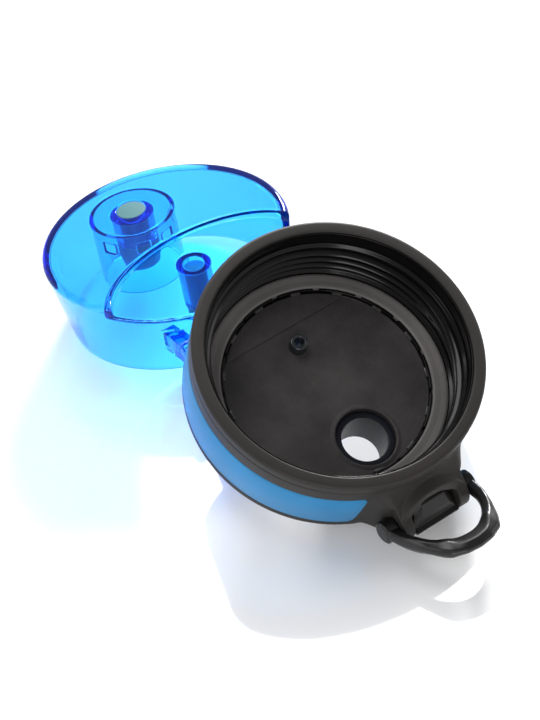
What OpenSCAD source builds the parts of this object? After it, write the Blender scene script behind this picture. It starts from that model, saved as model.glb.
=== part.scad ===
// Flip-top screw lid for a wide-mouth sports bottle.
// The lid lies open and upside down: the cover stands on the front of its rim,
// and the lid, mouth up, leans away from it on the tip of its drinking spout.
// Each piece is drawn in the closed frame (screw axis on Z, deck at z = 0, mouth
// down, front towards +Y, hinge towards -Y) and then put where it lies when open.

/* [Lid] */
// Outer radius of the shell at the mouth
mouth_r = 38.2; // [37.8:0.1:38.8]
// Outer radius of the shell at the deck
deck_r = 37.3; // [37:0.1:37.6]
// Height of the shell from deck to mouth
lid_h = 25.6; // [25:0.1:26.5]
// Radius of the smooth land inside the mouth
land_r = 34.2; // [34:0.05:34.4]
// Depth of the gasket face below the mouth
gasket_depth = 18; // [17.5:0.1:18.4]

/* [Thread] */
// Number of thread ridges
thread_n = 3; // [2:1:3]
// Distance between two ridges
thread_pitch = 3.4; // [3:0.1:3.6]
// Height of a ridge above the wall
thread_depth = 1.1; // [0.8:0.05:1.2]

/* [Band] */
// Upper edge of the colour band, below the deck
band_top = 3.2; // [3.1:0.1:4]
// Lower edge of the colour band, below the deck
band_bottom = 17.6; // [17:0.1:19]
// Half angle of the gap that the band leaves at the bracket
band_gap = 22.5; // [22:0.5:26]

/* [Spout] */
// Distance of the spout's axis from the screw axis
spout_y = 17.5; // [17:0.1:18]
// Bore radius of the spout
spout_bore_r = 6.2; // [5.8:0.05:6.3]
// Outer radius of the spout above the deck
spout_r = 7.5; // [7.3:0.05:7.8]
// Height of the spout above the deck
spout_h = 7.45; // [7:0.05:7.45]

/* [Air inlet] */
// Distance of the air inlet from the screw axis, towards the hinge
vent_y = 13; // [12:0.1:14]
// Outer radius of the air tube
vent_r = 2.35; // [2.2:0.05:2.5]
// Bore radius of the air tube
vent_bore_r = 1.4; // [1.2:0.05:1.5]

/* [Cover] */
// Outer radius of the cover's top
cover_top_r = 35; // [34.5:0.1:35.5]
// Outer radius of the cover's rim
cover_rim_r = 31.3; // [31:0.1:31.5]
// Height of the cover
cover_h = 23.7; // [23:0.1:24.5]
// Wall thickness of the cover
cover_wall = 1.7; // [1.5:0.1:1.9]
// Depth of the scoop at its apex
scoop_step = 1.5; // [1:0.1:2]

/* [Hinge] */
// Distance of the hinge pin behind the screw axis
hinge_y = 34; // [34:0.1:34.4]
// Height of the hinge pin above the deck
hinge_z = 11.9; // [11.7:0.1:12.1]
// Radius of the hinge pin
pin_r = 1.2; // [1.1:0.05:1.3]
// Opening angle of the cover
open_angle = 149; // [147:1:150]
// Lean of the cover as it stands on the front of its rim
cover_lean = 7; // [6.5:0.1:7.2]

/* [Carry loop] */
// Distance of the loop's pivot in front of the screw axis
loop_y = 42.4; // [42:0.1:42.8]
// Depth of the loop's pivot below the deck
loop_z = 10; // [9.5:0.1:10.5]
// Angle of the loop towards the mouth
loop_rise = 35; // [30:1:38]
// Reach of the loop from its pivot
loop_reach = 23; // [22:0.5:24]

/* [Hidden] */
$fn = 96;

clr = 0.3;
deck_z = -clr;                          // top face of the deck, just under the cover's rim
gasket_z = -lid_h + gasket_depth;       // face of the gasket
gasket_t = 1.6;
plate_z = gasket_z + gasket_t;          // inner face of the liner's floor plate
plate_t = 1.8;
skin = 1.5;                             // wall of the outer shell
liner_r = 36.1;                         // outside of the liner's skirt
row_y = 48.0;                           // puts the row's origin under the middle of its box
latch_y = 42.6;                         // rocking axis of the latch
latch_z = -8.2;
lug_in = 15.9;                          // cover lugs, from and to, along the hinge
lug_out = 20.4;
knuckle_in = 9.4;                       // lid knuckles, from and to
knuckle_out = 15.6;
knuckle_r = 2.7;

// ---- poses -----------------------------------------------------------------
module cover_pose()
    translate([0, row_y, 0])
        translate([0, cover_rim_r, 0]) rotate([-cover_lean, 0, 0]) translate([0, -cover_rim_r, 0])
            children();

module lid_pose()
    cover_pose()
        translate([0, -hinge_y, hinge_z]) rotate([-open_angle, 0, 0]) translate([0, hinge_y, -hinge_z])
            children();

// ---- helpers ---------------------------------------------------------------
// points of an arc about (cx, cy)
function arc(cx, cy, r, a0, a1, n = 8) =
    [for (i = [0 : n]) [cx + r * cos(a0 + (a1 - a0) * i / n), cy + r * sin(a0 + (a1 - a0) * i / n)]];

module tube(ro, ri, h)
    difference() {
        cylinder(r = ro, h = h);
        translate([0, 0, -1]) cylinder(r = ri, h = h + 2);
    }

// cylinder along X, centred on x
module xcyl(r, x0, x1)
    translate([x0, 0, 0]) rotate([0, 90, 0]) cylinder(r = r, h = x1 - x0);

// sector of a ring between two angles, for bands and slots
module sector(ro, a0, a1, z0, z1)
    translate([0, 0, z0]) linear_extrude(height = z1 - z0)
        polygon(concat([[0, 0]], [for (i = [0 : 24]) let (a = a0 + (a1 - a0) * i / 24) [ro * cos(a), ro * sin(a)]]));

// ---- lid shell -------------------------------------------------------------
module shell_body()
    rotate_extrude() polygon(concat(
        [[liner_r + 0.02, -lid_h + 0.5], [liner_r + 0.5, -lid_h]],
        arc(mouth_r - 1, -lid_h + 1, 1, -90, 0),
        [[mouth_r - 0.05, -lid_h + 3.0], [mouth_r - 0.55, -lid_h + 3.3], [mouth_r - 0.15, -lid_h + 3.6]],
        [[deck_r + 0.55, -band_bottom], [deck_r - 0.35, -band_bottom]],
        [[deck_r - 0.75, -band_top], [deck_r + 0.05, -band_top]],
        arc(deck_r - 2.9, deck_z - 3.0, 3.0, 5, 90),
        [[32.2, deck_z], [31.9, deck_z - 0.0], [0, deck_z], [0, deck_z - 2], [liner_r + 0.02, deck_z - 2]]
    ));

// one side of the front bracket: cheek with rounded nose and its trunnion for the loop
module cheek(s) {
    translate([s * 8.9 - 1.5, 0, 0]) {
        translate([0, 35.8, -17]) cube([3.0, 6.8, 14]);
        translate([0, loop_y, -loop_z]) rotate([0, 90, 0]) cylinder(r = 4.6, h = 3.0);
        translate([0, 35.8, -loop_z - 4.6]) cube([3.0, 6.6, 9.2]);
    }
    translate([0, loop_y, -loop_z]) xcyl(2.0, s > 0 ? 10.2 : -14.9, s > 0 ? 14.9 : -10.2);
}

// flared root that joins the bracket to the side wall
module bracket_root()
    translate([0, 0, -18.2]) linear_extrude(height = 15.6)
        polygon(concat([[-13.9, 33]],
            [for (i = [0 : 8]) let (t = i / 8) [-13.9 + 3.5 * t, 35 + 4.4 * t * t]],
            [for (i = [8 : -1 : 0]) let (t = i / 8) [13.9 - 3.5 * t, 35 + 4.4 * t * t]],
            [[13.9, 33]]));

module knuckle(x0, x1) {
    translate([0, -hinge_y, hinge_z]) xcyl(knuckle_r, x0, x1);
    translate([x0, -hinge_y - knuckle_r, -2.9]) cube([x1 - x0, 2.9, hinge_z + 2.9]);
}

module lid_shell() lid_pose() color([0.13, 0.125, 0.12]) difference() {
    union() {
        difference() {
            union() {
                shell_body();
                // solid wall where the band leaves its gap
                intersection() {
                    rotate_extrude() polygon([[liner_r + 0.02, -band_bottom - 0.5], [deck_r + 0.55, -band_bottom - 0.5],
                        [deck_r + 0.55, -band_bottom], [deck_r + 0.05, -band_top], [deck_r + 0.05, -band_top + 0.4], [liner_r + 0.02, -band_top + 0.4]]);
                    sector(60, 90 - band_gap + 1, 90 + band_gap - 1, -band_bottom - 0.5, -band_top + 0.4);
                }
                difference() {
                    union() {
                        bracket_root();
                        cheek(1);
                        cheek(-1);
                        translate([-10.4, 34.5, -17]) cube([20.8, 5, 13.8]);
                        translate([-10.4, 34.5, -18.6]) cube([20.8, 6.6, 2.0]);
                    }
                    translate([0, 0, -40]) cylinder(r = liner_r + 0.6, h = 60);
                }
                for (s = [-1, 1]) knuckle(s > 0 ? knuckle_in : -knuckle_out, s > 0 ? knuckle_out : -knuckle_in);
            }
            // latch pocket
            translate([-7.2, 37.9, -17.1]) cube([14.4, 12, 18.4]);
        }
    }
    // room for the liner
    translate([0, 0, -lid_h - 1]) cylinder(r = liner_r + 0.02, h = lid_h - 1.3);
    // spout and air holes in the deck
    translate([0, spout_y, -6]) cylinder(r = spout_r + 0.05, h = 10);
    translate([0, -vent_y, -6]) cylinder(r = vent_r + 0.05, h = 10);
    // hinge bore
    translate([0, -hinge_y, hinge_z]) xcyl(pin_r, -knuckle_out - 1, knuckle_out + 1);
    // latch pin bore
    translate([0, latch_y, latch_z]) xcyl(1.0, -9.8, 9.8);
    // slot for the latch's arm
    translate([-4.9, 33.5, -4.15]) cube([9.8, 8, 6]);
    // socket of the latch spring
    translate([0, 40.1, -14.2]) rotate([90, 0, 0]) cylinder(r = 2.1, h = 2.8);
}

// ---- liner -----------------------------------------------------------------
module ridge(z)
    rotate_extrude() polygon([[land_r - 0.9, z - 1.1], [land_r - 0.9 - thread_depth, z - 0.35],
        [land_r - 0.9 - thread_depth, z + 0.35], [land_r - 0.9, z + 1.1], [land_r + 0.4, z + 1.1], [land_r + 0.4, z - 1.1]]);

module lid_liner() lid_pose() color([0.06, 0.06, 0.065]) difference() {
    union() {
        rotate_extrude() polygon([
            [liner_r, plate_z + plate_t], [liner_r, -lid_h + 0.6], [liner_r - 0.3, -lid_h + 0.05],
            [land_r + 0.9, -lid_h + 0.05], [land_r, -lid_h + 1.3], [land_r, -lid_h + 5.0],
            [land_r - 0.9, -lid_h + 5.6], [land_r - 0.9, gasket_z - 0.8], [32.4, gasket_z - 0.3], [32.4, plate_z],
            [28.0, plate_z], [28.0, gasket_z + 0.5], [27.3, gasket_z + 0.5], [27.3, plate_z], [0, plate_z], [0, plate_z + plate_t]]);
        for (i = [0 : thread_n - 1]) ridge(-lid_h + 7.2 + thread_pitch * i);
        // moulded step across the plate, behind the air inlet
        difference() {
            translate([0, 0, plate_z - 0.6]) cylinder(r = 27.4, h = 0.7);
            translate([-40, -18.8, plate_z - 2]) cube([80, 80, 4]);
        }
        // raised lip round the spout hole
        translate([0, spout_y, plate_z - 0.5]) cylinder(r = 9.0, h = 0.6);
    }
    translate([0, spout_y, plate_z - 3]) cylinder(r = spout_r + 0.6, h = 8);
    translate([0, -vent_y, plate_z - 3]) cylinder(r = vent_r + 0.02, h = 8);
    // small gates in the ring round the plate
    for (a = [12 : 24 : 359]) rotate([0, 0, a]) translate([26.8, -0.8, plate_z - 3]) cube([1.6, 1.6, 2.7]);
}

// ---- colour band -----------------------------------------------------------
module colour_band() lid_pose() color([0.15, 0.5, 0.8]) difference() {
    rotate_extrude() polygon([[deck_r - 0.33, -band_bottom + 0.05], [deck_r + 0.42, -band_bottom + 0.05],
        [deck_r + 0.52, -band_bottom + 0.15], [deck_r + 0.08, -band_top - 0.15],
        [deck_r - 0.02, -band_top - 0.05], [deck_r - 0.73, -band_top - 0.05]]);
    sector(60, 90 - band_gap, 90 + band_gap, -band_bottom - 1, -band_top + 1);
}

module neck_gasket() lid_pose() color([0.4, 0.385, 0.37]) rotate_extrude()
    polygon([[28.05, plate_z - 0.02], [28.05, gasket_z + 0.35], [28.4, gasket_z], [31.95, gasket_z], [32.3, gasket_z + 0.35], [32.3, plate_z - 0.02]]);

// ---- spout and air inlet ---------------------------------------------------
module spout() lid_pose() color([0.08, 0.08, 0.09]) translate([0, spout_y, 0]) rotate_extrude()
    polygon(concat(
        [[spout_bore_r + 0.4, plate_z + 1.0], [spout_r + 0.45, plate_z + 1.0], [spout_r + 0.45, plate_z + 1.7], [spout_r, plate_z + 1.7]],
        [[spout_r, deck_z + 4]],
        arc(spout_r - 0.65, spout_h - 0.65, 0.65, 0, 90, 6),
        arc(spout_bore_r + 0.5, spout_h - 0.5, 0.5, 90, 180, 6),
        [[spout_bore_r, plate_z + 1.4]]));

module spout_seal() lid_pose() color([0.3, 0.3, 0.3]) translate([0, spout_y, plate_z + plate_t + 0.02])
    tube(spout_r + 1.9, spout_r + 0.02, deck_z - 2 - plate_z - plate_t - 0.04);

module vent_tube() lid_pose() color([0.1, 0.1, 0.11]) translate([0, -vent_y, 0]) rotate_extrude()
    polygon([[vent_bore_r, plate_z - 3.1], [vent_r - 0.3, plate_z - 3.1], [vent_r, plate_z - 2.8], [vent_r, 2.3], [vent_r - 0.3, 2.6], [vent_bore_r, 2.6]]);

// ---- hinge -----------------------------------------------------------------
module hinge_pin() lid_pose() color([0.75, 0.75, 0.77]) translate([0, -hinge_y, hinge_z]) xcyl(pin_r, -lug_out + 1.2, lug_out - 1.2);

// closed coils of the torsion spring, with one leg down against the lid
module hinge_spring() lid_pose() color([0.7, 0.7, 0.72]) translate([0, -hinge_y, hinge_z]) {
    for (s = [-1, 1]) for (i = [0 : 5]) translate([s * (4.0 + 0.62 * i), 0, 0]) rotate([0, 90, 0])
        rotate_extrude($fn = 48) translate([1.72, 0]) circle(r = 0.32, $fn = 16);
    for (s = [-1, 1]) translate([s * 7.1, -1.72, -9.4]) cylinder(r = 0.32, h = 9.4, $fn = 16);
    translate([0, -1.72, 0]) xcyl(0.32, -4.1, 4.1);
}

// ---- cover -----------------------------------------------------------------
function lean_r(z) = cover_rim_r + (cover_top_r - cover_rim_r) * z / (cover_h - 1.6);

module cover_outside()
    rotate_extrude($fn = 128) polygon(concat(
        [[0, 0], [cover_rim_r - 0.4, 0], [cover_rim_r, 0.4]],
        arc(cover_top_r - 1.5, cover_h - 1.5, 1.5, 0, 90, 8),
        [[0, cover_h]]));

module cover_inside()
    rotate_extrude($fn = 128) polygon(concat(
        [[0, -1], [cover_rim_r - cover_wall, -1], [cover_rim_r - cover_wall, 0]],
        arc(cover_top_r - cover_wall - 1.2, cover_h - 1.8 - 1, 1, 0, 90, 6),
        [[0, cover_h - 1.8]]));

// elliptical column of the thumb scoop, its floor falling towards the hinge
module scoop(grow, drop)
    intersection() {
        translate([0, -24, 0]) linear_extrude(height = 60)
            polygon([for (i = [0 : 95]) let (a = i * 3.75) [(30.8 + grow) * cos(a), (21 + grow) * sin(a)]]);
        translate([0, -3, cover_h - scoop_step - drop]) rotate([6.4, 0, 0]) translate([-60, -80, 0]) cube([120, 160, 60]);
    }

module cover_lug(x0, x1) {
    translate([0, -hinge_y, hinge_z]) xcyl(3.0, x0, x1);
    translate([x0, -hinge_y, hinge_z - 3]) cube([x1 - x0, 9, 6]);
}

module cover() cover_pose() color([0.1, 0.72, 0.95, 0.45]) difference() {
    union() {
        difference() {
            cover_outside();
            difference() {
                cover_inside();
                scoop(cover_wall, 1.7);
                // thicker wall behind the lid's knuckles
                translate([-16.5, -40, hinge_z - 4.4]) cube([33, 10.2, 8.8]);
            }
        }
        for (s = [-1, 1]) intersection() {
            cover_lug(s > 0 ? lug_in : -lug_out, s > 0 ? lug_out : -lug_in);
            translate([-40, -60, 0]) cube([80, 60 - 24.5, 40]);
        }
        // shroud round the spout, socket of its plug, socket of the air plug
        translate([0, spout_y, 2.4]) tube(12.1, 10.9, cover_h - 3.4);
        translate([0, spout_y, 13.6]) tube(6.0, 4.25, cover_h - 14.6);
        translate([0, -vent_y, 6.4]) tube(4.7, 3.2, 13.6);
        // catch for the latch on the front of the rim
        translate([-4, 29.8, 0.35]) cube([8, 3.2, 0.75]);
    }
    scoop(0, 0);
    // hole that the spout's plug is pulled through
    translate([0, spout_y, cover_h - 3]) cylinder(r = 4.25, h = 5);
    // everything above the plateau
    translate([-50, -50, cover_h]) cube([100, 100, 20]);
    // windows in the shroud
    for (a = [200, 250, 290, 340]) translate([0, spout_y, 15.5]) rotate([0, 0, a]) translate([9, -2, 0]) cube([5, 4, 3.4]);
    // clearance round the lid's knuckles and spring
    translate([0, -hinge_y, hinge_z]) xcyl(knuckle_r + 0.3, -lug_in, lug_in);
    translate([-lug_in, -hinge_y - 6, -1]) cube([2 * lug_in, 6 + 0.55, hinge_z + 1]);
    // pin holes
    translate([0, -hinge_y, hinge_z]) xcyl(pin_r + 0.06, -lug_out + 1.0, lug_out - 1.0);
}

module spout_plug() cover_pose() color([0.55, 0.62, 0.58]) translate([0, spout_y, 0]) rotate_extrude()
    polygon([[0, cover_h - 0.05], [4.2, cover_h - 0.05], [4.2, 13.55], [5.9, 13.55], [5.9, 9.4], [5.1, 5.6], [4.5, 5.2], [0, 5.2]]);

module vent_plug() cover_pose() color([0.55, 0.55, 0.6]) translate([0, -vent_y, 0]) rotate_extrude()
    polygon([[0, 18.0], [3.15, 18.0], [3.15, 6.35], [4.2, 6.35], [4.2, 3.3], [3.9, 3.0], [0, 3.0]]);

// ---- latch -----------------------------------------------------------------
module latch_button() lid_pose() color([0.1, 0.1, 0.1]) difference() {
    union() {
        translate([-6.8, 40.6, -16.4]) cube([13.6, 4.6, 12.6]);
        // straight lip to press
        translate([-6.8, 45, -13.6]) cube([13.6, 2.6, 2.2]);
        translate([0, latch_y, latch_z]) xcyl(2.9, -6.8, 6.8);
        // arm through the slot in the shoulder, and its upright hook
        translate([-4.4, 34.8, -3.8]) cube([8.8, 8.6, 1.9]);
        translate([-4.4, 34.8, -3.8]) cube([8.8, 1.7, 5.9]);
        translate([-4.4, 34.1, 1.35]) cube([8.8, 2.0, 0.75]);
    }
    translate([0, latch_y, latch_z]) xcyl(1.05, -8, 8);
}

module latch_pin() lid_pose() color([0.75, 0.75, 0.77]) translate([0, latch_y, latch_z]) xcyl(1.0, -9.7, 9.7);

module latch_spring() lid_pose() color([0.7, 0.7, 0.72]) translate([0, 40.5, -14.2]) rotate([90, 0, 0])
    for (i = [0 : 4]) translate([0, 0, 0.25 + 0.62 * i]) rotate_extrude($fn = 40) translate([1.5, 0]) circle(r = 0.24, $fn = 14);

// ---- carry loop ------------------------------------------------------------
// outline of the bail: half width a, straight up to y0, then an elliptical end up to top
function bail(a, y0, top, n = 24) = [for (i = [0 : n]) let (t = 180 * i / n) [a * cos(t), y0 + (top - y0) * sin(t)]];

module carry_loop() lid_pose() color([0.07, 0.07, 0.075])
    translate([0, loop_y, -loop_z]) rotate([-loop_rise, 0, 0]) difference() {
        union() {
            translate([0, 0, -1.8]) linear_extrude(height = 3.6)
                polygon(concat(bail(14.5, 8.4, loop_reach), [[-14.5, 0], [-10.75, 0]],
                    [for (i = [24 : -1 : 0]) bail(10.75, 7.4, loop_reach - 5.6)[i]], [[10.75, 0], [14.5, 0]]));
            for (s = [-1, 1]) xcyl(3.2, s > 0 ? 10.75 : -14.5, s > 0 ? 14.5 : -10.75);
        }
        xcyl(2.08, -20, 20);
    }

lid_shell();
lid_liner();
colour_band();
neck_gasket();
spout();
spout_seal();
vent_tube();
hinge_pin();
hinge_spring();
cover();
spout_plug();
vent_plug();
latch_button();
latch_pin();
latch_spring();
carry_loop();
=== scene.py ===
import math

import bmesh
import bpy
import numpy as np
from mathutils import Matrix, Vector


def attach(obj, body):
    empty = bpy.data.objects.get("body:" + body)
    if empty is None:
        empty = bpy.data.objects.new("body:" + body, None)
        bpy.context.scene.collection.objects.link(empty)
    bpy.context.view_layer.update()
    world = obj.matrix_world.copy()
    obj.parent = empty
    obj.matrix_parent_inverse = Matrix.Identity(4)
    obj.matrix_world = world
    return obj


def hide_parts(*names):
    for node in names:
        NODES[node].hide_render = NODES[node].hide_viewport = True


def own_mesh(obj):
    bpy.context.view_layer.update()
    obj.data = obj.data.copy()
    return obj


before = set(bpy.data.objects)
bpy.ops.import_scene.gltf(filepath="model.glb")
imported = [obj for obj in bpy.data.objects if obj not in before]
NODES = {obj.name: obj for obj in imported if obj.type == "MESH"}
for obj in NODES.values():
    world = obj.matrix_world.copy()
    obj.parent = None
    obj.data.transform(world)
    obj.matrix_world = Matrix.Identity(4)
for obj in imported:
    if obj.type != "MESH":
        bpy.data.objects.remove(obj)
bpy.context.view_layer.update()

# ---------------------------------------------------------------- frames (mm)
ROW_Y, RIM_R, HINGE_Y, HINGE_Z, LEAN, OPEN = 48.0, 31.3, 34.0, 11.9, 7.0, 149.0


def move(x, y, z):
    return Matrix.Translation((x, y, z))


def rx(a):
    return Matrix.Rotation(math.radians(a), 4, "X")


MM = Matrix.Scale(0.001, 4)
COVER = MM @ move(0, RIM_R + ROW_Y, 0) @ rx(-LEAN) @ move(0, -RIM_R, 0)
LID = COVER @ move(0, -HINGE_Y, HINGE_Z) @ rx(-OPEN) @ move(0, HINGE_Y, -HINGE_Z)
LOOP = LID @ move(0, 42.4, -10.0) @ rx(-35)


# ---------------------------------------------------------------- mesh helpers
def fillet(pts, seg=6):
    """Closed outline with each corner (x, y, radius) rounded."""
    out, n = [], len(pts)
    for i, (x, y, r) in enumerate(pts):
        p = np.array((x, y), float)
        a, b = np.array(pts[i - 1][:2], float), np.array(pts[(i + 1) % n][:2], float)
        la, lb = np.linalg.norm(a - p), np.linalg.norm(b - p)
        u, v = (a - p) / la, (b - p) / lb
        ang = math.acos(max(-1.0, min(1.0, float(u @ v))))
        if r <= 0 or ang > math.pi - 0.02:
            out.append(tuple(p))
            continue
        d = min(r / math.tan(ang / 2), 0.49 * la, 0.49 * lb)
        s, e, w = p + u * d, p + v * d, math.sin(ang / 2)
        for k in range(seg + 1):
            t = k / seg
            q = ((1 - t) ** 2 * s + 2 * t * (1 - t) * w * p + t * t * e) / (
                (1 - t) ** 2 + 2 * t * (1 - t) * w + t * t
            )
            out.append(tuple(q))
    return out


def lathe(profile, n=192, centre=(0.0, 0.0)):
    """Closed (r, z) outline turned about Z."""
    verts, rings = [], []
    for r, z in profile:
        if r < 1e-6:
            verts.append((centre[0], centre[1], z))
            rings.append([len(verts) - 1] * n)
        else:
            rings.append(list(range(len(verts), len(verts) + n)))
            for k in range(n):
                a = 2 * math.pi * k / n
                verts.append((centre[0] + r * math.cos(a), centre[1] + r * math.sin(a), z))
    faces = []
    m = len(rings)
    for i in range(m):
        p, q = rings[i], rings[(i + 1) % m]
        for k in range(n):
            k2 = (k + 1) % n
            f = []
            for v in (p[k], p[k2], q[k2], q[k]):
                if v not in f:
                    f.append(v)
            if len(f) > 2:
                faces.append(tuple(f))
    return verts, faces


def loft(sections, closed=False):
    """Tube through sections, each a list of the same number of points."""
    verts = [tuple(p) for s in sections for p in s]
    m, c = len(sections), len(sections[0])
    faces = []
    for i in range(m if closed else m - 1):
        for k in range(c):
            k2, j = (k + 1) % c, (i + 1) % m
            faces.append((i * c + k, i * c + k2, j * c + k2, j * c + k))
    if not closed:
        faces.append(tuple(range(c)))
        faces.append(tuple((m - 1) * c + k for k in range(c)))
    return verts, faces


def prism(outline, lo, hi, plane="xy"):
    """Outline extruded from lo to hi, across the named plane."""
    def at(p, h):
        if plane == "xy":
            return (p[0], p[1], h)
        if plane == "yz":
            return (h, p[0], p[1])
        return (p[0], h, p[1])
    return loft([[at(p, lo) for p in outline], [at(p, hi) for p in outline]])


def box(x0, x1, y0, y1, z0, z1):
    return prism([(x0, y0), (x1, y0), (x1, y1), (x0, y1)], z0, z1)


def xcyl(r, x0, x1, y=0.0, z=0.0, n=48):
    return prism([(y + r * math.cos(2 * math.pi * k / n), z + r * math.sin(2 * math.pi * k / n)) for k in range(n)], x0, x1, "yz")


def coil(radius, wire, pitch, turns, axis_x=True, n=40, m=12, start=0.0, flip=1):
    """Helical wire about X (or Z), from the origin along the axis."""
    steps = int(turns * n)
    secs = []
    for i in range(steps + 1):
        t = 2 * math.pi * i / n * flip + start
        h = pitch * i / n
        sec = []
        for k in range(m):
            b = 2 * math.pi * k / m
            r = radius + wire * math.cos(b)
            if axis_x:
                sec.append((h + wire * math.sin(b), r * math.cos(t), r * math.sin(t)))
            else:
                sec.append((r * math.cos(t), r * math.sin(t), h + wire * math.sin(b)))
        secs.append(sec)
    return loft(secs)


def shape(name, *parts):
    me = bpy.data.meshes.new(name)
    bm = bmesh.new()
    for verts, faces in parts:
        vs = [bm.verts.new(v) for v in verts]
        for f in faces:
            try:
                bm.faces.new([vs[i] for i in f])
            except ValueError:
                pass
    bmesh.ops.remove_doubles(bm, verts=bm.verts, dist=1e-5)
    bmesh.ops.recalc_face_normals(bm, faces=bm.faces)
    bm.to_mesh(me)
    bm.free()
    o = bpy.data.objects.new(name, me)
    bpy.context.scene.collection.objects.link(o)
    return o


def settle(o):
    """Applies the modifiers."""
    dg = bpy.context.evaluated_depsgraph_get()
    me = bpy.data.meshes.new_from_object(o.evaluated_get(dg), depsgraph=dg)
    o.modifiers.clear()
    o.data = me
    return o


def boolean(o, other, op="DIFFERENCE"):
    m = o.modifiers.new("b", "BOOLEAN")
    m.object, m.operation, m.solver = other, op, "EXACT"
    settle(o)
    bpy.data.objects.remove(other)
    return o


def melt(o, voxel, rounds=4, keep=0.4):
    """One closed skin over overlapping solids, with its edges rounded as moulding rounds them."""
    m = o.modifiers.new("r", "REMESH")
    m.mode, m.voxel_size = "VOXEL", voxel
    if rounds:
        s = o.modifiers.new("s", "SMOOTH")
        s.factor, s.iterations = 0.5, rounds
    if keep < 1:
        d = o.modifiers.new("d", "DECIMATE")
        d.ratio = keep
    return settle(o)


def chamfer(o, width, seg=3, angle=35):
    m = o.modifiers.new("c", "BEVEL")
    m.width, m.segments, m.limit_method, m.angle_limit = width, seg, "ANGLE", math.radians(angle)
    m.use_clamp_overlap = True
    return settle(o)


def from_cad(name, node, place):
    """Copy of a CAD node's mesh in the local frame, in mm, for reshaping."""
    me = NODES[node].data.copy()
    me.transform(place.inverted())
    me.materials.clear()
    bm = bmesh.new()
    bm.from_mesh(me)
    bmesh.ops.remove_doubles(bm, verts=bm.verts, dist=1e-3)
    bmesh.ops.recalc_face_normals(bm, faces=bm.faces)
    bm.to_mesh(me)
    bm.free()
    o = bpy.data.objects.new(name, me)
    bpy.context.scene.collection.objects.link(o)
    return o


def piece(o, place, body, material, slot, *nodes, angle=32):
    o.data.transform(place)
    o.data.materials.clear()
    o.data.materials.append(material)
    for p in o.data.polygons:
        p.material_index = 0
    o.data.shade_smooth()
    if angle:
        o.data.set_sharp_from_angle(angle=math.radians(angle))
    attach(o, body)
    if nodes:
        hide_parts(*nodes)
    return o


# ---------------------------------------------------------------- materials
def new_material(name):
    m = bpy.data.materials.new(name)
    m.use_nodes = True
    nt = m.node_tree
    return m, nt, nt.nodes["Principled BSDF"]


def noise(nt, scale, detail=3.0, rough=0.6, coord="Object"):
    tc = nt.nodes.new("ShaderNodeTexCoord")
    n = nt.nodes.new("ShaderNodeTexNoise")
    n.inputs["Scale"].default_value = scale
    n.inputs["Detail"].default_value = detail
    n.inputs["Roughness"].default_value = rough
    nt.links.new(tc.outputs[coord], n.inputs["Vector"])
    return n


def ramp(nt, src, stops):
    r = nt.nodes.new("ShaderNodeValToRGB")
    el = r.color_ramp.elements
    while len(el) < len(stops):
        el.new(0.5)
    for e, (p, c) in zip(el, stops):
        e.position = p
        e.color = (c[0], c[1], c[2], 1.0) if not isinstance(c, float) else (c, c, c, 1.0)
    nt.links.new(src, r.inputs["Fac"])
    return r


def plastic(name, colour, spread=0.25, rough=(0.4, 0.55), grain=2200.0, bump=0.06, depth=0.00005,
            spec=0.5, coat=0.0, sheen=0.0, big=60.0, detail=4.0):
    """Moulded plastic or rubber: faint colour clouds, uneven gloss and a fine moulded grain."""
    m, nt, b = new_material(name)
    cloud = noise(nt, big, 4.0)
    dark = tuple(c * (1 - spread) for c in colour)
    light = tuple(min(1.0, c * (1 + spread)) for c in colour)
    cr = ramp(nt, cloud.outputs["Fac"], [(0.3, dark), (0.7, light)])
    nt.links.new(cr.outputs["Color"], b.inputs["Base Color"])
    fine = noise(nt, grain, detail, 0.7)
    rr = ramp(nt, fine.outputs["Fac"], [(0.3, float(rough[0])), (0.7, float(rough[1]))])
    nt.links.new(rr.outputs["Color"], b.inputs["Roughness"])
    if bump:
        bp = nt.nodes.new("ShaderNodeBump")
        bp.inputs["Strength"].default_value = bump
        bp.inputs["Distance"].default_value = depth
        nt.links.new(fine.outputs["Fac"], bp.inputs["Height"])
        nt.links.new(bp.outputs["Normal"], b.inputs["Normal"])
    b.inputs["Specular IOR Level"].default_value = spec
    b.inputs["Coat Weight"].default_value = coat
    b.inputs["Coat Roughness"].default_value = 0.12
    b.inputs["Sheen Weight"].default_value = sheen
    b.inputs["Sheen Roughness"].default_value = 0.4
    return m


def steel(name):
    m, nt, b = new_material(name)
    n = noise(nt, 900.0, 5.0)
    r = ramp(nt, n.outputs["Fac"], [(0.3, 0.18), (0.7, 0.34)])
    nt.links.new(r.outputs["Color"], b.inputs["Roughness"])
    c = ramp(nt, n.outputs["Fac"], [(0.2, (0.56, 0.56, 0.58)), (0.8, (0.74, 0.74, 0.76))])
    nt.links.new(c.outputs["Color"], b.inputs["Base Color"])
    b.inputs["Metallic"].default_value = 1.0
    return m


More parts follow.
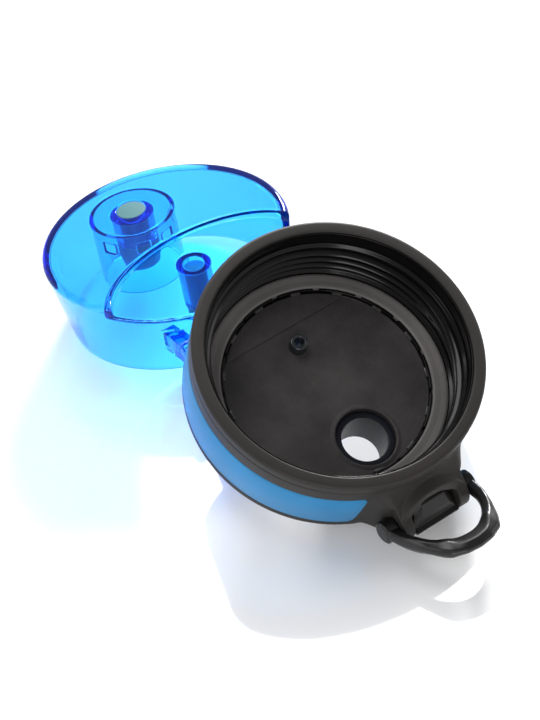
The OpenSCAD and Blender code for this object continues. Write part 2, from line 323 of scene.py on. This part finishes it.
def clear_cyan(name):
    """Tinted clear plastic: the body colour deepens with the length of the way through it."""
    m, nt, b = new_material(name)
    out = nt.nodes["Material Output"]
    n = noise(nt, 35.0, 2.0)
    c = ramp(nt, n.outputs["Fac"], [(0.2, (0.62, 0.93, 1.0)), (0.8, (0.7, 0.96, 1.0))])
    nt.links.new(c.outputs["Color"], b.inputs["Base Color"])
    r = ramp(nt, noise(nt, 160.0, 3.0).outputs["Fac"], [(0.3, 0.015), (0.75, 0.05)])
    nt.links.new(r.outputs["Color"], b.inputs["Roughness"])
    b.inputs["Transmission Weight"].default_value = 1.0
    b.inputs["IOR"].default_value = 1.36
    b.inputs["Specular IOR Level"].default_value = 0.8
    b.inputs["Emission Color"].default_value = (0.0, 0.10, 0.62, 1)      # painted glow: a faint blue emission that brightens the edges, though the cover is no lamp
    b.inputs["Emission Strength"].default_value = 0.05
    ab = nt.nodes.new("ShaderNodeVolumeAbsorption")
    ab.inputs["Color"].default_value = (0.0, 0.70, 0.965, 1.0)
    ab.inputs["Density"].default_value = 560.0
    nt.links.new(ab.outputs["Volume"], out.inputs["Volume"])
    lp = nt.nodes.new("ShaderNodeLightPath")
    tr = nt.nodes.new("ShaderNodeBsdfTransparent")
    tr.inputs["Color"].default_value = (0.30, 0.84, 1.0, 1.0)
    mx = nt.nodes.new("ShaderNodeMixShader")
    nt.links.new(lp.outputs["Is Shadow Ray"], mx.inputs[0])
    nt.links.new(b.outputs["BSDF"], mx.inputs[1])
    nt.links.new(tr.outputs["BSDF"], mx.inputs[2])
    nt.links.new(mx.outputs["Shader"], out.inputs["Surface"])
    return m


M_SHELL = plastic("soft_black", (0.027, 0.0238, 0.0218), 0.12, (0.48, 0.6), 3000.0, 0.3, 0.00007, spec=0.3, sheen=0.02)
M_LINER = plastic("liner_black", (0.0030, 0.0026, 0.0026), 0.2, (0.12, 0.19), 700.0, 0.02, 0.00002, spec=0.26, coat=0.1, detail=2.0)
M_PLATE = plastic("plate_black", (0.05, 0.046, 0.045), 0.4, (0.42, 0.62), 1900.0, 1.0, 0.00016, spec=0.26)
M_BAND = plastic("band_blue", (0.02, 0.23, 0.5), 0.08, (0.36, 0.46), 3000.0, 0.12, 0.00005, spec=0.3)
M_GASKET = plastic("gasket_grey", (0.165, 0.155, 0.150), 0.12, (0.5, 0.66), 1800.0, 0.2, 0.00006, spec=0.4)
M_SEAL = plastic("seal_dark", (0.03, 0.03, 0.03), 0.2, (0.5, 0.7), 1800.0, 0.2)
M_SPOUT = plastic("spout_black", (0.007, 0.008, 0.014), 0.2, (0.3, 0.42), 1500.0, 0.05, spec=0.25)
# painted highlight: the snap tabs get a lighter grey than the liner so that they read as lit facets
M_TAB = plastic("tab_grey_painted_highlight", (0.05, 0.048, 0.047), 0.15, (0.2, 0.3), 1500.0, 0.05, spec=0.6, coat=0.3)
M_VENT = plastic("vent_black", (0.014, 0.018, 0.022), 0.2, (0.14, 0.24), 1500.0, 0.05, spec=0.7, coat=0.4)
M_PLUG = plastic("plug_grey_green", (0.07, 0.19, 0.21), 0.1, (0.5, 0.62), 1500.0, 0.1, spec=0.2)
M_LATCH = plastic("latch_black", (0.007, 0.0058, 0.005), 0.15, (0.3, 0.42), 2400.0, 0.1, spec=0.35)
M_LOOP = plastic("loop_black", (0.0075, 0.0070, 0.0072), 0.2, (0.27, 0.37), 1600.0, 0.08, 0.00006, spec=0.42, coat=0.12, big=120.0)
M_STEEL = steel("steel")
M_COVER = clear_cyan("clear_cyan")

# ---------------------------------------------------------------- lid: shell
shell = shape("shell_skirt", lathe(fillet([
    (36.13, -2.3, 0), (36.13, -24.45, 0), (34.92, -24.55, 0), (34.9, -25.32, 0.1), (35.25, -25.6, 0.2), (38.2, -25.6, 0.95), (38.18, -22.75, 0.12),
    (37.55, -22.5, 0.08), (37.58, -22.25, 0.08), (38.06, -22.05, 0.3), (37.86, -17.62, 0.12), (36.95, -17.62, 0),
    (36.56, -3.18, 0), (37.36, -3.18, 0.14), (37.42, -0.3, 2.9), (0, -0.3, 0), (0, -2.3, 0)]), 256))
cut = shape("cut", prism([(7.55 * math.cos(a), 17.5 + 7.55 * math.sin(a)) for a in np.linspace(0, 2 * math.pi, 97)[:-1]], -6, 3),
            prism([(2.4 * math.cos(a), -13 + 2.4 * math.sin(a)) for a in np.linspace(0, 2 * math.pi, 49)[:-1]], -6, 3),
            box(-4.9, 4.9, 33.5, 41.5, -4.15, 1.85))
boolean(shell, cut)
piece(shell, LID, "lid", M_SHELL, "shell", "lid_shell", angle=30)

# bracket for the latch and the loop, flared out of the side wall
def flared_root():
    """Closed solid: the side wall's surface swelling into the bracket, concave at its sides."""
    xs, zs = np.linspace(-17.5, 17.5, 71), np.linspace(-22.2, -1.6, 52)

    def ease(t):
        t = min(1.0, max(0.0, t))
        return t * t * (3 - 2 * t)

    secs = []
    for z in zs:
        rise = ease((z + 22.2) / 5.6) ** 1.25 * ease((-1.6 - z) / 2.6)
        sec = []
        for x in xs:
            wall = math.sqrt(37.62 ** 2 - x * x)
            f = ease((17.5 - abs(x)) / 7.4) ** 2.1
            sec.append((x, wall + (40.6 - wall) * f * rise, z))
        sec += [(17.5, 33.0, z), (-17.5, 33.0, z)]
        secs.append(sec)
    return loft(secs)


def nose(s):
    """Cheek: root on the wall, round nose about the loop's axis."""
    out = [(35.6, -18.6), (40.2, -17.6)]
    out += [(42.4 + 4.7 * math.cos(a), -10.2 + 5.0 * math.sin(a)) for a in np.linspace(-1.3, 1.25, 18)]
    out += [(40.5, -4.0), (35.6, -2.6)]
    return prism(out, *((7.25, 10.45) if s > 0 else (-10.45, -7.25)), "yz")


def horseshoe():
    """Thick rim that arches over the pocket and runs into both cheeks."""
    out = [(-10.45, -4.2), (-10.45, -13.0)] + [(-10.45 * math.cos(t), -13.0 - 6.6 * math.sin(t)) for t in np.linspace(0.08, math.pi - 0.08, 36)] + [(10.45, -13.0), (10.45, -4.2)]
    low = [(x, 35.0, z) for x, z in out]
    return loft([low, [(x, min(44.6, 42.0 + 0.38 * (z + 19.6)), z) for x, z in out]])


bracket = shape("bracket", flared_root())
for part in (horseshoe(), nose(1), nose(-1), xcyl(2.0, 10.2, 13.55, 42.4, -10), xcyl(2.0, -13.55, -10.2, 42.4, -10)):
    boolean(bracket, shape("add", part), "UNION")
fill = [(37.8 * math.sin(a), 37.8 * math.cos(a)) for a in np.radians(np.linspace(-21.6, 21.6, 30))]
fill += [(36.3 * math.sin(a), 36.3 * math.cos(a)) for a in np.radians(np.linspace(21.6, -21.6, 30))]
boolean(bracket, shape("add", prism(fill, -17.9, -3.0)), "UNION")
boolean(bracket, shape("cut", prism([(36.2 * math.cos(a), 36.2 * math.sin(a)) for a in np.linspace(0, 2 * math.pi, 193)[:-1]], -40, 20)))
# pocket: arched at its top, open towards the deck
arch = [(-7.2, 1.3), (-7.2, -13.4)] + [(-7.2 * math.cos(a), -13.4 - 3.7 * math.sin(a)) for a in np.linspace(0.1, math.pi - 0.1, 20)] + [(7.2, -13.4), (7.2, 1.3)]
boolean(bracket, shape("cut", prism(arch, 37.9, 52, "xz")))
boolean(bracket, shape("cut", box(-4.9, 4.9, 33.5, 41.5, -4.15, 1.85)))
melt(bracket, 0.2, 9, 0.35)
piece(bracket, LID, "lid", M_SHELL, "shell", "lid_shell", angle=0)

# hinge knuckles
for s, nm in ((1, "knuckle_right"), (-1, "knuckle_left")):
    x0, x1 = (9.4, 15.6) if s > 0 else (-15.6, -9.4)
    k = shape(nm, xcyl(2.7, x0, x1, -34.0, 11.9, 64))
    boolean(k, shape("add", box(x0, x1, -36.7, -33.8, -2.2, 11.9)), "UNION")
    boolean(k, shape("cut", xcyl(1.22, x0 - 1, x1 + 1, -34.0, 11.9, 48)))
    chamfer(k, 0.3)
    piece(k, LID, "lid", M_SHELL, "shell", "lid_shell")

# ---------------------------------------------------------------- lid: band
def band():
    half = math.radians(22.6)
    span = 2 * math.pi - 2 * half
    start = math.pi / 2 + half
    r_lo, r_hi, z_lo, z_hi = 37.72, 37.3, -17.5, -3.3
    edge = np.concatenate([np.linspace(0, 1, 12)[:-1] ** 1.6 * 2.4, [2.4]])
    cols = np.concatenate([edge / 37.7, np.linspace(2.4 / 37.7, span - 2.4 / 37.7, 230)[1:-1], (span - edge / 37.7)[::-1]])
    secs = []
    for c in cols:
        d = min(c, span - c) * 37.7
        lo, hi = z_lo, z_hi
        if d < 2.2:
            lo = z_lo + 2.2 - math.sqrt(max(0.0, 2.2 ** 2 - (2.2 - d) ** 2))
        if d < 0.8:
            hi = z_hi - (0.8 - math.sqrt(max(0.0, 0.8 ** 2 - (0.8 - d) ** 2)))
        lip = 0.42 * min(1.0, math.sqrt(max(0.0, d / 0.35))) if d < 0.35 else 0.42
        sec = []
        for t in (0.0, 0.012, 0.03, 0.5, 0.97, 0.988, 1.0):
            z = lo + (hi - lo) * t
            base = r_lo + (r_hi - r_lo) * (z - z_lo) / (z_hi - z_lo)
            e = min(t, 1 - t)
            up = lip * (0.25 if e == 0 else 0.75 if e < 0.02 else 1.0)
            sec.append((base + up - 0.12, z))
        for z in (hi, lo):
            sec.append((r_lo - 0.9 + (r_hi - r_lo) * (z - z_lo) / (z_hi - z_lo), z))
        a = start + c
        secs.append([(r * math.cos(a), r * math.sin(a), z) for r, z in sec])
    return loft(secs)


piece(shape("blue_band", band()), LID, "lid", M_BAND, "band", "colour_band", angle=40)

# ---------------------------------------------------------------- lid: liner
liner = shape("liner_wall", lathe(fillet([
    (36.1, -4.22, 0), (36.1, -24.4, 0), (34.86, -24.5, 0), (34.82, -25.15, 0.12), (34.5, -25.15, 0.12), (34.2, -24.5, 0.25), (34.2, -20.6, 0.3),
    (33.3, -20.0, 0.3), (33.3, -8.5, 0.3), (32.38, -7.95, 0.1), (32.38, -6.0, 0), (28.0, -6.0, 0), (28.0, -7.25, 0.16),
    (27.35, -7.25, 0.16), (27.2, -6.0, 0.2), (0, -6.0, 0), (0, -4.22, 0)]), 256))
cutters = [prism([(8.1 * math.cos(a), 17.5 + 8.1 * math.sin(a)) for a in np.linspace(0, 2 * math.pi, 97)[:-1]], -10, 0),
           prism([(2.38 * math.cos(a), -13 + 2.38 * math.sin(a)) for a in np.linspace(0, 2 * math.pi, 49)[:-1]], -10, 0)]
for a in range(12, 360, 24):
    c, s = math.cos(math.radians(a)), math.sin(math.radians(a))
    v, f = box(26.7, 28.6, -0.85, 0.85, -9, -6.15)
    cutters.append(([(x * c - y * s, x * s + y * c, z) for x, y, z in v], f))
boolean(liner, shape("cut", *cutters))
piece(liner, LID, "lid", M_LINER, "liner", "lid_liner", angle=30)

# small snap tabs on the ring round the plate, coloured a lighter grey than the liner as a painted highlight
tabs = []
for a in range(0, 360, 24):
    c, d = math.cos(math.radians(a)), math.sin(math.radians(a))
    v, f = box(26.75, 27.4, -1.35, 1.35, -7.05, -5.95)
    tabs.append(([(x * c - y * d, x * d + y * c, z) for x, y, z in v], f))
tabs = shape("snap_tabs", *tabs)
chamfer(tabs, 0.14, 2)
piece(tabs, LID, "lid", M_TAB, "liner", "lid_liner")

# matt plate with its straight moulded step
plate_disc = shape("plate_face", lathe(fillet([(27.1, -5.9, 0), (27.1, -6.06, 0.04), (0, -6.06, 0), (0, -5.9, 0)]), 192))
cutters = [prism([(8.6 * math.cos(a), 17.5 + 8.6 * math.sin(a)) for a in np.linspace(0, 2 * math.pi, 97)[:-1]], -10, 0),
           prism([(2.4 * math.cos(a), -13 + 2.4 * math.sin(a)) for a in np.linspace(0, 2 * math.pi, 49)[:-1]], -10, 0)]
boolean(plate_disc, shape("cut", *cutters))
piece(plate_disc, LID, "lid", M_PLATE, "liner", "lid_liner")
half = math.asin(18.8 / 26.9)
moon = [(26.9 * math.cos(a), 26.9 * math.sin(a)) for a in np.linspace(-math.pi + half, -half, 64)]
moon = shape("plate_step", prism(moon, -6.62, -5.95))
chamfer(moon, 0.3, 3)
piece(moon, LID, "lid", M_PLATE, "liner", "lid_liner")
lip = shape("spout_collar", lathe(fillet([(8.02, -4.6, 0), (8.02, -6.22, 0.3), (8.5, -6.34, 0.3), (9.6, -6.0, 0.5), (9.6, -5.8, 0)]), 96, (0.0, 17.5)))
piece(lip, LID, "lid", M_PLATE, "liner", "lid_liner")


def thread():
    secs = []
    total = 2.75 * 360
    steps = int(total / 3)
    for i in range(steps + 1):
        d = total * i / steps
        a = math.radians(d + 100)
        z0 = -19.0 + 3.0 * d / 360
        k = min(1.0, d / 24, (total - d) / 24)
        k = max(0.03, k * k * (3 - 2 * k))
        r0, r1 = 33.75, 33.3 - 1.12 * k
        prof = [(r0, z0 - 1.05), (33.3, z0 - 1.0), (r1 + 0.12, z0 - 0.42), (r1, z0 - 0.3), (r1, z0 + 0.3), (r1 + 0.12, z0 + 0.42), (33.3, z0 + 1.0), (r0, z0 + 1.05)]
        secs.append([(r * math.cos(a), r * math.sin(a), z) for r, z in prof])
    return loft(secs)


piece(shape("thread", thread()), LID, "lid", M_LINER, "liner", "lid_liner", angle=25)

gasket = shape("gasket", lathe(fillet([(28.06, -6.0, 0), (28.06, -7.45, 0.4), (28.6, -7.62, 0.2), (30.1, -7.5, 0.4), (31.6, -7.62, 0.2), (32.3, -7.4, 0.35), (32.3, -6.0, 0)]), 256))
piece(gasket, LID, "lid", M_GASKET, "gasket", "neck_gasket")

spout = shape("spout_tube", lathe(fillet([
    (6.22, -4.9, 0.35), (7.92, -4.95, 0.2), (7.92, -4.35, 0.1), (7.5, -4.3, 0),
    (7.5, 6.0, 0.4), (7.42, 7.4, 0.65), (6.2, 7.42, 0.6)]), 128, (0.0, 17.5)))
piece(spout, LID, "lid", M_SPOUT, "spout", "spout")
seal = shape("seal_ring", lathe(fillet([(7.54, -4.15, 0.1), (9.38, -4.15, 0.1), (9.38, -2.35, 0.1), (7.54, -2.35, 0.1)]), 96, (0.0, 17.5)))
piece(seal, LID, "lid", M_SEAL, "seal", "spout_seal")
vent = shape("air_tube", lathe(fillet([(1.4, -9.1, 0.25), (2.33, -9.1, 0.3), (2.33, 2.58, 0.3), (1.4, 2.58, 0.15)]), 64, (0.0, -13.0)))
piece(vent, LID, "lid", M_VENT, "vent", "vent_tube")

# ---------------------------------------------------------------- hinge and springs
parts = []
for s in (-1, 1):
    v, f = coil(1.74, 0.31, 0.66, 5.0, True, 32, 10, start=0.0, flip=s)
    parts.append(([(s * (3.95 + x), y - 34.0, z + 11.9) for x, y, z in v], f))
    parts.append(prism([(s * 7.25 + 0.31 * math.cos(a), -35.74 + 0.31 * math.sin(a)) for a in np.linspace(0, 2 * math.pi, 13)[:-1]], 2.5, 11.9))
parts.append(xcyl(0.31, -4.05, 4.05, -32.26, 11.9, 12))
piece(shape("torsion_spring", *parts), LID, "lid", M_STEEL, "spring", "hinge_spring")
v, f = coil(1.5, 0.23, 0.62, 4.4, False, 36, 10)
button_spring = piece(shape("button_spring", ([(x, 40.3 - z, y - 14.2) for x, y, z in v], f)), LID, "lid", M_STEEL, "spring", "latch_spring")
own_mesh(button_spring)
pin = shape("pin_hinge", xcyl(1.2, -19.2, 19.2, -34.0, 11.9, 48))
chamfer(pin, 0.15, 2)
piece(pin, LID, "lid", M_STEEL, "pin", "hinge_pin")
pin = shape("pin_latch", xcyl(1.0, -9.7, 9.7, 42.6, -8.2, 48))
chamfer(pin, 0.15, 2)
piece(pin, LID, "lid", M_STEEL, "pin", "latch_pin")

# ---------------------------------------------------------------- cover
def arc(cx, cy, r, a0, a1, n=10):
    return [(cx + r * math.cos(math.radians(a0 + (a1 - a0) * i / n)), cy + r * math.sin(math.radians(a0 + (a1 - a0) * i / n))) for i in range(n + 1)]


def circle(r, y, n=96, x=0.0):
    return [(x + r * math.cos(2 * math.pi * k / n), y + r * math.sin(2 * math.pi * k / n)) for k in range(n)]


def scoop(grow, drop):
    """Column of the thumb scoop, its floor falling towards the hinge."""
    el = [((30.8 + grow) * math.cos(t), -24 + (21 + grow) * math.sin(t)) for t in np.linspace(0, 2 * math.pi, 241)[:-1]]
    z0, k = 23.7 - 1.5 - drop, math.tan(math.radians(6.4))
    return loft([[(x, y, z0 + (y + 3) * k) for x, y in el], [(x, y, 60.0) for x, y in el]])


SEG = 360
inside = shape("inside", lathe([(0, -1), (30.6, -1), (30.45, 0), (29.95, 0.25), (29.6, 0.85)] + arc(32.1, 20.9, 1.0, 0, 90) + [(0, 21.9)], SEG))
boolean(inside, shape("cut", scoop(1.7, 1.7)))
boolean(inside, shape("cut", box(-16.5, 16.5, -40, -29.8, 7.5, 16.3)))
cover = shape("clear_cover", lathe([(0, 0)] + arc(30.45, 0.85, 0.85, -90, 0, 6) + arc(33.5, 22.2, 1.5, 0, 90) + [(0, 23.7)], SEG))
boolean(cover, inside)
for s in (1, -1):
    x0, x1 = (15.9, 20.4) if s > 0 else (-20.4, -15.9)
    lug = shape("lug", xcyl(3.0, x0, x1, -34.0, 11.9, 64))
    boolean(lug, shape("add", box(x0, x1, -34.0, -25.0, 8.9, 14.9)), "UNION")
    boolean(cover, lug, "UNION")


def tube(ro, ri, y, z0, z1, n=120):
    return lathe([(ri, z0), (ro, z0), (ro, z1), (ri, z1)], n, (0.0, y))


boolean(cover, shape("add", tube(12.05, 11.2, 17.5, 2.4, 22.7)), "UNION")
boolean(cover, shape("add", tube(6.0, 4.25, 17.5, 13.6, 22.7)), "UNION")
boolean(cover, shape("add", tube(4.7, 3.2, -13.0, 6.4, 20.0)), "UNION")
boolean(cover, shape("add", box(-4, 4, 29.8, 33.0, 0.35, 1.1)), "UNION")
boolean(cover, shape("cut", scoop(0, 0)))
boolean(cover, shape("cut", prism(circle(4.25, 17.5), 20.7, 25.7)))
for a in (200, 250, 290, 340):
    c, d = math.cos(math.radians(a)), math.sin(math.radians(a))
    v, f = box(9, 14, -2, 2, 15.5, 18.9)
    boolean(cover, shape("cut", ([(x * c - y * d, x * d + y * c + 17.5, z) for x, y, z in v], f)))
boolean(cover, shape("cut", xcyl(3.0, -15.9, 15.9, -34.0, 11.9, 96)))
boolean(cover, shape("cut", box(-15.9, 15.9, -40, -33.45, -1, 11.9)))
boolean(cover, shape("cut", xcyl(1.26, -19.4, 19.4, -34.0, 11.9, 64)))
melt(cover, 0.2, 4, 0.3)
piece(cover, COVER, "cover", M_COVER, "cover", "cover", angle=0)
plug = shape("soft_plug", lathe(fillet([(0, 23.62, 0), (4.2, 23.62, 0.2), (4.2, 13.6, 0), (5.9, 13.55, 0.2), (5.9, 9.4, 1.2), (5.1, 5.6, 0.6), (4.5, 5.2, 0.4), (2.2, 5.2, 0.2), (1.9, 6.4, 0.3), (0, 6.4, 0)]), 96, (0.0, 17.5)))
piece(plug, COVER, "cover", M_PLUG, "plug", "spout_plug")
plug = shape("soft_air_plug", lathe(fillet([(0, 18.0, 0), (3.15, 18.0, 0.1), (3.15, 6.35, 0), (4.2, 6.35, 0.25), (4.2, 3.3, 0.5), (3.9, 3.0, 0.3), (1.6, 3.0, 0.2), (1.4, 3.9, 0.2), (0, 3.9, 0)]), 72, (0.0, -13.0)))
piece(plug, COVER, "cover", M_PLUG, "plug", "vent_plug")

# ---------------------------------------------------------------- latch
def hull(points):
    bm = bmesh.new()
    for p in points:
        bm.verts.new(p)
    r = bmesh.ops.convex_hull(bm, input=bm.verts)
    bmesh.ops.delete(bm, geom=[g for g in r["geom_interior"] if isinstance(g, bmesh.types.BMVert)], context="VERTS")
    bm.verts.index_update()
    out = [tuple(v.co) for v in bm.verts], [tuple(v.index for v in f.verts) for f in bm.faces]
    bm.free()
    return out


pts = []
for s in (1, -1):
    pts += [(s * 4.9, 40.6, -16.3), (s * 6.6, 40.6, -12.4), (s * 6.75, 40.6, -4.2), (s * 6.75, 43.4, -4.2), (s * 6.75, 45.4, -7.0),
            (s * 3.6, 42.9, -16.0), (s * 6.4, 44.4, -12.4), (s * 4.4, 45.2, -13.0), (s * 6.5, 46.2, -10.4)]
latch = shape("latch_body", hull(pts))
grip = []
for s in (1, -1):
    grip += [(s * 6.75, 45.0, -11.0), (s * 6.75, 47.5, -10.5), (s * 6.75, 47.5, -9.7), (s * 6.75, 45.2, -8.4), (s * 6.75, 43.6, -10.0)]
boolean(latch, shape("add", hull(grip)), "UNION")
for part in (xcyl(2.9, -6.75, 6.75, 42.6, -8.2), box(-4.4, 4.4, 34.8, 43.4, -3.8, -1.9), box(-4.4, 4.4, 34.8, 36.4, -3.8, 2.08), box(-4.4, 4.4, 34.12, 36.1, 1.38, 2.08), box(-6.7, 6.7, 40.65, 43.2, -5.2, -3.85), box(-4.4, 4.4, 40.65, 43.4, -4.4, -1.9)):
    boolean(latch, shape("add", part), "UNION")
boolean(latch, shape("cut", xcyl(1.05, -8, 8, 42.6, -8.2)))
melt(latch, 0.15, 1, 0.3)
piece(latch, LID, "latch", M_LATCH, "latch", "latch_button", angle=0)

# ---------------------------------------------------------------- carry loop
def curve(points, n):
    """Catmull-Rom through the points, evenly in parameter."""
    p = np.array(points, float)
    p = np.vstack([2 * p[0] - p[1], p, 2 * p[-1] - p[-2]])
    out = []
    m = len(p) - 3
    for i in range(n + 1):
        t = m * i / n
        k = min(int(t), m - 1)
        t -= k
        a, b, c, d = p[k:k + 4]
        out.append(0.5 * (2 * b + (c - a) * t + (2 * a - 5 * b + 4 * c - d) * t * t + (3 * b - a - 3 * c + d) * t ** 3))
    return np.array(out)


outer = [(14.45, 0.0), (14.3, 3.2), (13.7, 7.0), (11.9, 12.4), (9.6, 17.6), (7.7, 20.5), (4.0, 22.3), (0.0, 22.85)]
inner = [(10.8, 0.0), (10.8, 3.4), (10.45, 7.2), (9.2, 10.6), (6.9, 13.9), (4.4, 15.9), (2.2, 16.8), (0.0, 17.1)]
outer = outer + [(-x, y) for x, y in reversed(outer[:-1])]
inner = inner + [(-x, y) for x, y in reversed(inner[:-1])]


def knee(points, n):
    """Straight runs with short turns between them."""
    fine = np.array([np.array(points[k]) * (1 - t) + np.array(points[k + 1]) * t for k in range(len(points) - 1) for t in np.linspace(0, 1, 24, endpoint=False)] + [np.array(points[-1])], float)
    for _ in range(9):
        fine[1:-1] = 0.25 * fine[:-2] + 0.5 * fine[1:-1] + 0.25 * fine[2:]
    pick = np.linspace(0, len(fine) - 1, n + 1)
    return np.array([[np.interp(q, range(len(fine)), fine[:, 0]), np.interp(q, range(len(fine)), fine[:, 1])] for q in pick])


o_c, i_c = knee(outer, 112), curve(inner, 112)
secs = []
for j, (po, pi) in enumerate(zip(o_c, i_c)):
    t = abs(2 * j / 112 - 1)                       # 0 at the front, 1 at the pivots
    mid, hw = (po + pi) / 2, (po - pi) / 2
    th = 1.75 + 0.5 * math.exp(-((t - 0.36) / 0.09) ** 2) + 0.35 * math.exp(-((t - 0.62) / 0.1) ** 2)
    ridge = 0.35 - 0.45 * math.exp(-((t - 0.36) / 0.16) ** 2)
    sec = []
    for u, v in ((-1, -0.3), (-0.72, -0.8), (ridge - 0.12, -1.0), (ridge + 0.12, -1.0), (0.8, -0.62), (1, -0.22), (1, 0.22), (0.8, 0.62), (ridge + 0.12, 1.0), (ridge - 0.12, 1.0), (-0.72, 0.8), (-1, 0.3)):
        q = mid + hw * u
        sec.append((q[0], q[1], th * v))
    secs.append(sec)
loop = shape("loop_body", loft(secs))
for s in (1, -1):
    x0, x1 = (10.78, 14.48) if s > 0 else (-14.48, -10.78)
    boss = [[(x, r * math.cos(a) + y, r * math.sin(a)) for a in np.linspace(0, 2 * math.pi, 49)[:-1]]
            for x, r, y in ((x0, 3.1, 0), (x0 + s * 0.0 if s > 0 else x0, 3.1, 0), ((x0 + x1) / 2, 3.15, 0), (x1, 3.1, 0))]
    if s > 0:
        boss = [boss[0], boss[2], [(14.0, y, z) for x, y, z in boss[2]], [(14.5, 0.72 * y, 0.72 * z) for x, y, z in boss[2]]]
    else:
        boss = [[(-14.5, 0.72 * y, 0.72 * z) for x, y, z in boss[2]], [(-14.0, y, z) for x, y, z in boss[2]], boss[2], [(-10.78, y, z) for x, y, z in boss[2]]]
    boolean(loop, shape("add", loft(boss)), "UNION")
for s in (1, -1):
    x0, x1 = (9.5, 13.75) if s > 0 else (-13.75, -9.5)
    boolean(loop, shape("cut", xcyl(2.1, x0, x1, 0, 0, 64)))
melt(loop, 0.17, 2, 0.35)
piece(loop, LOOP, "loop", M_LOOP, "loop", "carry_loop", angle=0)

# ---------------------------------------------------------------- stage
floor_m, nt, b = new_material("floor")
b.inputs["Base Color"].default_value = (0.93, 0.935, 0.94, 1)
b.inputs["Roughness"].default_value = 0.06
b.inputs["IOR"].default_value = 1.75
b.inputs["Emission Color"].default_value = (1.0, 1.0, 1.0, 1)
b.inputs["Emission Strength"].default_value = 0.12
me = bpy.data.meshes.new("floor")
S = 3.0
me.from_pydata([(-S, -S, 0), (S, -S, 0), (S, S, 0), (-S, S, 0)], [], [(0, 1, 2, 3)])
floor = bpy.data.objects.new("floor", me)
bpy.context.scene.collection.objects.link(floor)
me.materials.append(floor_m)

world = bpy.data.worlds.new("studio")
bpy.context.scene.world = world
world.use_nodes = True
wt = world.node_tree
bg = wt.nodes["Background"]
tc = wt.nodes.new("ShaderNodeTexCoord")
sx = wt.nodes.new("ShaderNodeSeparateXYZ")
wt.links.new(tc.outputs["Generated"], sx.inputs[0])
wr = ramp(wt, sx.outputs["Z"], [(0.0, (0.95, 0.95, 0.96)), (0.45, (0.62, 0.62, 0.63)), (0.8, (0.3, 0.3, 0.31)), (1.0, (0.24, 0.24, 0.25))])
wt.links.new(wr.outputs["Color"], bg.inputs["Color"])
bg.inputs["Strength"].default_value = 0.74


def light(name, where, aim, size, power, colour=(1, 1, 1), size_y=None):
    d = bpy.data.lights.new(name, "AREA")
    d.energy, d.color, d.size = power, colour, size
    if size_y:
        d.shape, d.size_y = "RECTANGLE", size_y
    o = bpy.data.objects.new(name, d)
    o.location = where
    o.rotation_euler = (Vector(aim) - Vector(where)).to_track_quat("-Z", "Y").to_euler()
    bpy.context.scene.collection.objects.link(o)
    return o


light("key_top", (-0.1, 0.3, 0.9), (0, 0, 0), 0.5, 3.0)
light("fill_left", (-0.8, 0.1, 0.4), (0, 0, 0.02), 0.3, 1.0, size_y=0.5)
light("front_fill", (-0.5, -0.75, 0.3), (0, 0, 0.02), 0.5, 2.6)
light("strip_back", (0.42, 0.62, 1.0), (0, 0.02, 0.02), 0.3, 2.5, size_y=0.3)
light("low_back", (0.70, 0.66, 0.43), (0, 0.02, 0.02), 0.22, 18.0)
light("side_right", (0.7, -0.3, 0.35), (0, 0, 0.03), 0.3, 0.4)

# ---------------------------------------------------------------- camera
cam = bpy.data.cameras.new("camera")
cam.lens, cam.sensor_width = 125.0, 36.0
cam.clip_start, cam.clip_end = 0.01, 20
co = bpy.data.objects.new("camera", cam)
bpy.context.scene.collection.objects.link(co)
beta, pitch, roll = 1.021, 0.759, -0.125
v = Vector((math.cos(beta), math.sin(beta), 0))
r = Vector((math.sin(beta), -math.cos(beta), 0))
z = Vector((0, 0, 1))
fw, up = math.cos(pitch) * v - math.sin(pitch) * z, math.sin(pitch) * v + math.cos(pitch) * z
X = math.cos(roll) * r + math.sin(roll) * up
Y = -math.sin(roll) * r + math.cos(roll) * up
rot = Matrix((X, Y, -fw)).transposed().to_4x4()
co.matrix_world = Matrix.Translation((-0.255815, -0.413454, 0.476885)) @ rot
bpy.context.scene.camera = co
bpy.context.scene.view_settings.view_transform = "Standard"
